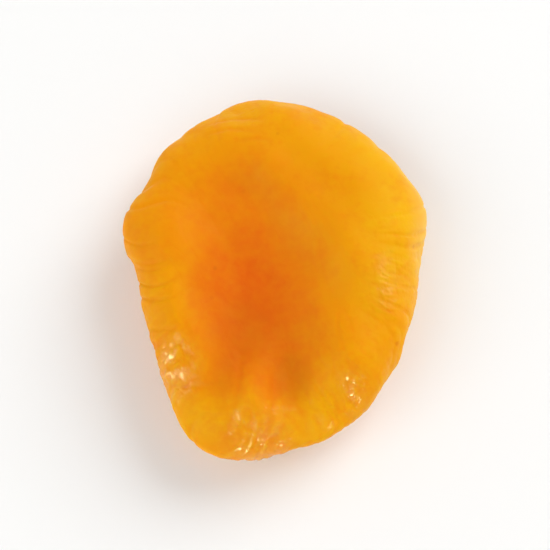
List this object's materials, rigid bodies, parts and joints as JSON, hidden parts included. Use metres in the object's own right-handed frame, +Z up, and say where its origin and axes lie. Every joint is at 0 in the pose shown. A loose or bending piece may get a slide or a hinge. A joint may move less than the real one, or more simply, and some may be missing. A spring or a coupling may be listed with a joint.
{
  "type": "dried apricot",
  "caption": "Whole pitted dried apricot: a flattened round fruit with a sunken middle, a plump wrinkled rim and a closed stone mouth.",
  "frame": {"origin": "centre of the footprint, on the surface that the fruit lies on", "axes": "+Z up out of the upper face, +Y towards the tip of the fruit, -Y towards the stem end with the stone mouth, +X to the right seen from above"},
  "size_m": [0.0322, 0.0398, 0.0114],
  "materials": {
    "dried_skin": "moist satin, slightly see-through amber orange flesh"
  },
  "bodies": {
    "root": {"apricot": "dried_skin"}
  },
  "joints": []
}
